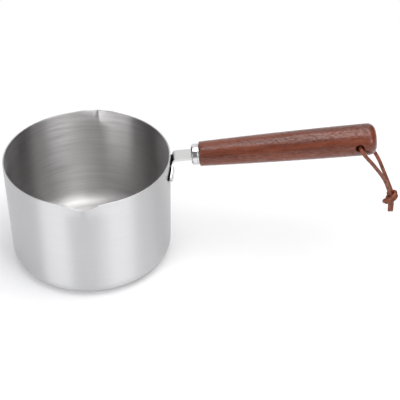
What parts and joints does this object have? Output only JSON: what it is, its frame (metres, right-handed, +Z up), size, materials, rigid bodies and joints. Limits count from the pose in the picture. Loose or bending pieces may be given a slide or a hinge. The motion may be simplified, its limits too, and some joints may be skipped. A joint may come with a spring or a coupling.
{
  "type": "milk pan",
  "caption": "Small straight-sided steel saucepan with pouring lips, a strap bracket, a turned wooden handle and a knotted leather hanging loop.",
  "frame": {"origin": "centre of the flat bottom, on the surface the pan stands on", "axes": "+Z up out of the pan's mouth, +X from the pan towards the handle's butt, +Y to the left looking along +X; the pouring lips point to -Y and +Y"},
  "size_m": [0.3357, 0.1486, 0.1225],
  "materials": {
    "pan_steel": "satin brushed stainless steel",
    "bracket_steel": "satin stainless steel",
    "ferrule_steel": "polished",
    "stud_steel": "turned",
    "insert_brass": "turned",
    "handle_wood": "satin varnish",
    "loop_leather": "matt"
  },
  "bodies": {
    "pan": {"pan_body": "pan_steel", "handle_bracket": "bracket_steel", "ferrule": "ferrule_steel", "threaded_stud": "stud_steel", "threaded_insert": "insert_brass", "wooden_handle": "handle_wood"},
    "loop": {"loop_near_strand": "loop_leather", "loop_far_strand": "loop_leather", "loop_knot": "loop_leather"}
  },
  "joints": [
    {"name": "loop_swing", "type": "hinge", "parent": "pan", "child": "loop", "pos_m": [0.22617, 0, 0.10849], "axis": [0, -1, 0], "range_deg": [-90, 205]}
  ]
}
